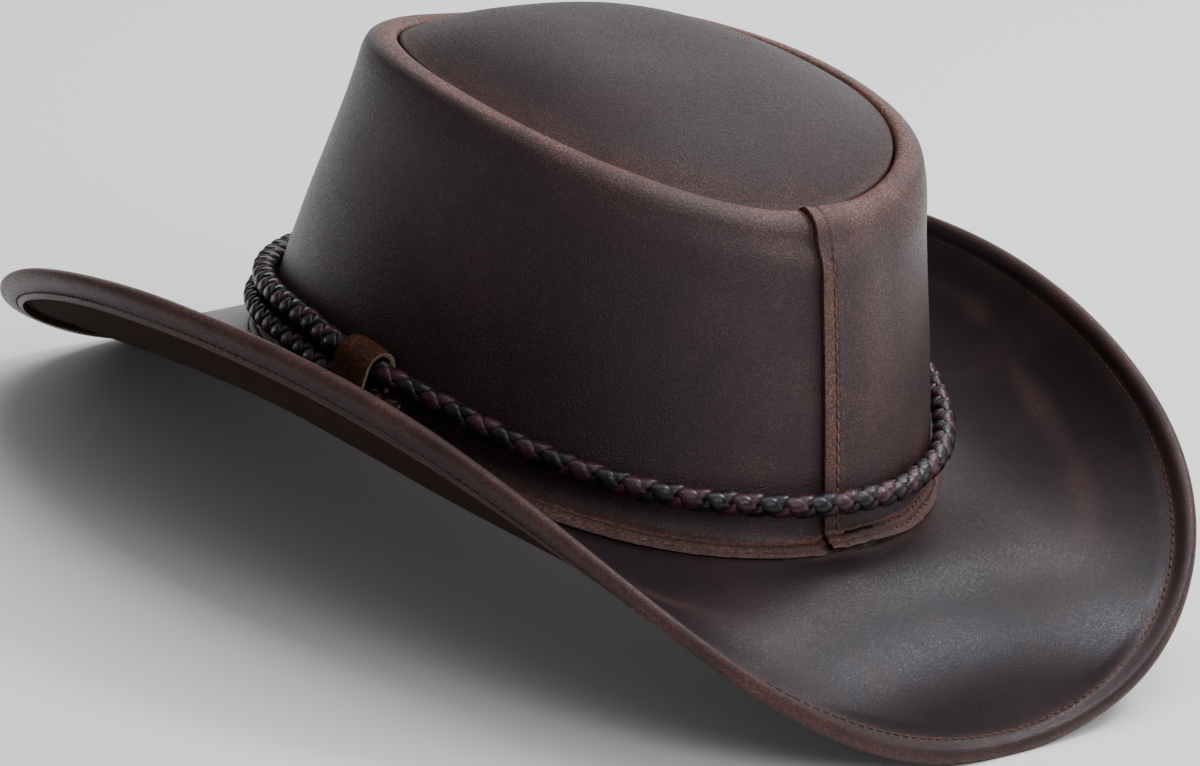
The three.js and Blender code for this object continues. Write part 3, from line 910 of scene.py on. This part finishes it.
class BUSHHAT_OT_band(bpy.types.Operator):
    """Makes the band, a round braid of two black and two burgundy laces"""

    bl_idname = "bushhat.band"
    bl_label = "Braided band"
    steps: number("Steps", "Rings along each lace", 1100)
    sides: number("Sides", "Points round each lace", 10)

    def centre_line(self, form, count):
        """Even places along the band, each with its length so far, its point and its two normals"""
        tail = (TAIL_LENGTH + form.keeper_length / 2) / form.round_length(1)
        turns = [mix(-tail, 360 + 2 * KEEPER_ANGLE + tail, i / count) for i in range(count + 1)]
        points = [form.band(turn) for turn in turns]
        found, length = [], 0
        for i, point in enumerate(points):
            ahead = points[min(i + 1, count)] - points[max(i - 1, 0)]
            length += (point - points[i - 1]).length if i else 0
            along = ahead.normalized()
            t = radians(KEEPER_ANGLE - turns[i])
            out = form.outward(t)
            out = (out - along * out.dot(along)).normalized()
            found.append((length, point, along, out, out.cross(along)))
        return found

    def lace_columns(self, form, line, way, start):
        """Rings of one lace: way is 1 or -1 for the way it turns, start its angle at the beginning"""
        middle = form.braid_diameter / 2 - LACE_THICKNESS / 2 - LACE_SINK
        centres = []
        for length, point, along, out, up in line:
            phase = -pi * length / form.braid_pitch
            drift = radians(BRAID_TURN + 7 * sin(length * 31))
            angle = way * phase + start
            reach = middle + way * WEAVE * cos(2 * phase)
            side = out * cos(angle + drift) + up * sin(angle + drift)
            centres.append((point + side * reach, side, way * cos(2 * phase)))
        columns = []
        last = len(centres) - 1
        for i, (centre, side, over) in enumerate(centres):
            along = (centres[min(i + 1, last)][0] - centres[max(i - 1, 0)][0]).normalized()
            flat = along.cross(side).normalized()
            depth = flat.cross(along)
            closing = 0 if i in (0, last) else 1
            wide = LACE_WIDTH / 2 * (1 + 0.1 * over) * closing
            thick = LACE_THICKNESS / 2 * closing
            ring = []
            for j in range(self.sides + 1):
                turn = 2 * pi * j / self.sides
                a, b = cos(turn), sin(turn)
                swell = (abs(a) ** LACE_SQUARE + abs(b) ** LACE_SQUARE) ** (-1 / LACE_SQUARE)
                ring.append((centre + flat * (wide * swell * a) + depth * (thick * swell * b), 0))
            columns.append(ring)
        return columns

    def execute(self, context):
        form = Form()
        line = self.centre_line(form, self.steps)
        black = lace_leather("black_lace", "black_lace")
        red = lace_leather("burgundy_lace", "red_lace")
        laces = (("lace_black_1", 1, 0, black, "band"), ("lace_burgundy_1", 1, pi, red, None),
                 ("lace_black_2", -1, 0, black, None), ("lace_burgundy_2", -1, pi, red, None))
        for name, way, start, material, node in laces:
            bm, _ = leather_grid(self.lace_columns(form, line, way, start), True)
            bmesh.ops.recalc_face_normals(bm, faces=bm.faces)
            finish_piece(bm, name, [material], node)
        return {"FINISHED"}


class BUSHHAT_OT_keepers(bpy.types.Operator):
    """Makes the two sleeves of rough-out leather that hold the rows of the band"""

    bl_idname = "bushhat.keepers"
    bl_label = "Keepers"

    def sleeve(self, form, turn):
        lower, upper = form.band(turn), form.band(turn + 360)
        along = (form.band(turn + 1) - lower).normalized()
        up = (upper - lower).normalized()
        across = up.cross(along).normalized()
        square = along.cross(across)
        middle = (lower + upper) / 2
        half = form.braid_diameter / 2 + KEEPER_PLAY + form.keeper_leather
        straight = (form.braid_diameter + GAP) / 2 + HAIR
        columns = []
        for i in range(KEEPER_STEPS + 1):
            place = i / KEEPER_STEPS - 0.5
            round_half = half - KEEPER_PINCH * (2 * place) ** 4
            ring = []
            for j in range(KEEPER_SIDES + 1):
                angle = 2 * pi * j / KEEPER_SIDES
                rise = straight * (1 if sin(angle) >= 0 else -1) if j % (KEEPER_SIDES // 2) else 0
                point = middle + along * (place * form.keeper_length) + square * rise
                point += (across * cos(angle) + square * sin(angle)) * round_half
                ring.append((point, 0))
            columns.append(ring)
        return columns, middle

    def execute(self, context):
        form = Form()
        rough = fibrous("rough_out_leather", "keeper", 0.7, 0.0003)
        raw = fibrous("keeper_raw_edge", "keeper_edge", 0.6)
        for name, turn in (("keeper_left", 0), ("keeper_right", 2 * KEEPER_ANGLE)):
            columns, middle = self.sleeve(form, turn)
            bm, _ = leather_grid(columns, True)
            ruffle(bm, height=0.00025, scale=160, seed=5)
            face_outwards(bm, middle)
            piece = finish_piece(bm, name + "_sleeve", [rough, raw, rough], name)
            give_thickness(piece, form.keeper_leather, edge_round=0.0002)
        return {"FINISHED"}


class BUSHHAT_OT_stitches(bpy.types.Operator):
    """Sews the brim's hem, the flange and the back seam"""

    bl_idname = "bushhat.stitches"
    bl_label = "Stitches"

    def sew(self, form, name, places, material, sink=0.4):
        """Row of stitches along places, each a point on the leather and the leather's normal"""
        bm = bmesh.new()
        sewn = length = 0
        previous = places[0][0]
        size = Matrix.Diagonal((form.stitch_pitch * STITCH_SHARE, form.thread / 2, form.thread / 2, 1))
        for point, normal in places[1:]:
            length += (point - previous).length
            if length >= sewn * form.stitch_pitch:
                along = (point - previous).normalized()
                side = normal.cross(along).normalized()
                turn = Matrix((along, side, normal)).transposed().to_4x4()
                wander = noise.noise(point * 300) * STITCH_WANDER
                middle = point + normal * (form.thread * (0.5 - sink)) + side * wander
                bmesh.ops.create_uvsphere(bm, u_segments=6, v_segments=5, radius=1,
                                          matrix=Matrix.Translation(middle) @ turn @ size)
                sewn += 1
            previous = point
        finish_piece(bm, name, [material])

    def surface(self, form, at, turns):
        """Places on a row of leather: at(t, shift) gives a point, shift 1 a point beside it"""
        rows = [at(t, 0) for t in turns]
        found = []
        for i, t in enumerate(turns):
            ahead = rows[min(i + 1, len(rows) - 1)] - rows[max(i - 1, 0)]
            normal = (at(t, 1) - rows[i]).cross(ahead).normalized()
            found.append((form.stand(rows[i]), form.turn @ normal))
        return found

    def execute(self, context):
        form = Form()
        thread = thread_material("waxed_thread", "thread")
        rubbed = thread_material("rubbed_thread", "rubbed_thread")
        rounds = turns_round(HEM_PLACES)
        edge = form.bead_radius - STITCH_INSET

        def brim_row(lift):
            return lambda t, shift: form.brim(t, form.reach(t) + edge + BESIDE * shift, lift)

        self.sew(form, "brim_stitches_top", self.surface(form, brim_row(-VALLEY_DEPTH), rounds), thread)
        under = [(point, -normal) for point, normal in
                 self.surface(form, brim_row(VALLEY_DEPTH - form.bead_radius - BEAD_DROP), rounds)]
        self.sew(form, "brim_stitches_under", under, thread)
        seam = radians(SEAM_ANGLE)
        first = seam + radians(FLANGE_FIRST)
        past_lap = [first + t for t in turns_round(FLANGE_PLACES)[:FLANGE_SEWN]]

        def flange_row(inset, rise):
            def at(t, shift):
                flange, _ = form.flange(t, form.lap_raise(form.past_seam(t)), 0)
                return flange(inset - BESIDE * shift, rise)
            return at

        for name, (inset, rise) in FLANGE_STITCHES.items():
            self.sew(form, name, self.surface(form, flange_row(inset, rise), past_lap), rubbed)
        stitch_turn = seam + radians(LAP_STITCH / form.round_length(1))

        def on_lap(turn, level):
            return form.wall(stitch_turn + turn, level, LAP_RAISE - GAP, 0)

        lap = []
        for i in range(LAP_PLACES + 1):
            level = mix(*LAP_ROW, i / LAP_PLACES)
            here = on_lap(0, level)
            normal = (on_lap(0.02, level) - here).cross(on_lap(0, level + 0.01) - here).normalized()
            lap.append((form.stand(here), form.turn @ normal))
        self.sew(form, "lap_stitches", lap, rubbed, 0.3)
        return {"FINISHED"}


class BUSHHAT_OT_stage(bpy.types.Operator):
    """Lays the floor and sets up the lights and the camera"""

    bl_idname = "bushhat.stage"
    bl_label = "Stage"

    def lamp(self, name, bearing, height, distance, size, power):
        """Softbox at a bearing and a height in degrees as seen from the hat"""
        turn, rise = radians(bearing), radians(height)
        way = Vector((sin(turn) * cos(rise), -cos(turn) * cos(rise), sin(rise)))
        light = with_values(bpy.data.lights.new(name, "AREA"), shape="RECTANGLE", size=size[0],
                            size_y=size[1], energy=power)
        with_values(new_object(name, light), location=Vector(LIGHT_TARGET) + way * distance,
                    rotation_mode="QUATERNION", rotation_quaternion=(-way).to_track_quat("-Z", "Y"))

    def execute(self, context):
        bm = bmesh.new()
        bmesh.ops.create_grid(bm, x_segments=4, y_segments=4, size=FLOOR_REACH)
        mesh = bpy.data.meshes.new("floor")
        bm.to_mesh(mesh)
        bm.free()
        mesh.materials.append(floor_material())
        new_object("floor", mesh)

        world = bpy.data.worlds.new("studio")
        world.use_nodes = True
        light = world.node_tree.nodes["Background"]
        feed(world.node_tree, light, {"Color": (1, 1, 1, 1), "Strength": WORLD_LIGHT})
        context.scene.world = world
        for name, values in SOFTBOXES.items():
            self.lamp(name, *values)

        back, right = Vector(VIEW_BACK), Vector(VIEW_RIGHT)
        up = back.cross(right)
        lens = with_values(bpy.data.cameras.new("camera"), sensor_width=SENSOR_WIDTH, lens=FOCAL_LENGTH,
                           clip_start=NEAREST)
        place = Vector(VIEW_TARGET) + back * VIEW_DISTANCE - right * VIEW_OFFSET[0] - up * VIEW_OFFSET[1]
        context.scene.camera = with_values(
            new_object("camera", lens), location=place, rotation_mode="QUATERNION",
            rotation_quaternion=Matrix((right, up, back)).transposed().to_quaternion())
        return {"FINISHED"}


class BUSHHAT_PT_panel(bpy.types.Panel):
    """Lists the hat's pieces, sizes and colours"""

    bl_label = "Bush hat"
    bl_idname = "BUSHHAT_PT_panel"
    bl_space_type = "VIEW_3D"
    bl_region_type = "UI"
    bl_category = "Hat"

    def draw(self, context):
        for operator in OPERATORS:
            self.layout.operator(operator.bl_idname)
        for group in (context.scene.bush_hat_sizes, context.scene.bush_hat_colours):
            column = self.layout.column()
            for name in group.bl_rna.properties.keys():
                if name not in ("rna_type", "name"):
                    column.prop(group, name)


OPERATORS = (BUSHHAT_OT_stage, BUSHHAT_OT_brim, BUSHHAT_OT_crown_side, BUSHHAT_OT_crown_tip,
             BUSHHAT_OT_band, BUSHHAT_OT_keepers, BUSHHAT_OT_stitches)
CLASSES = (BushHatSizes, BushHatColours, *OPERATORS, BUSHHAT_PT_panel)


def register():
    for item in CLASSES:
        bpy.utils.register_class(item)
    bpy.types.Scene.bush_hat_sizes = bpy.props.PointerProperty(type=BushHatSizes)
    bpy.types.Scene.bush_hat_colours = bpy.props.PointerProperty(type=BushHatColours)


def unregister():
    del bpy.types.Scene.bush_hat_sizes
    del bpy.types.Scene.bush_hat_colours
    for item in reversed(CLASSES):
        bpy.utils.unregister_class(item)


def main():
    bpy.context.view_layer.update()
    register()
    bpy.ops.bushhat.stage()
    bpy.ops.bushhat.brim()
    bpy.ops.bushhat.crown_side()
    bpy.ops.bushhat.crown_tip()
    bpy.ops.bushhat.band()
    bpy.ops.bushhat.keepers()
    bpy.ops.bushhat.stitches()


if __name__ == "__main__":
    main()
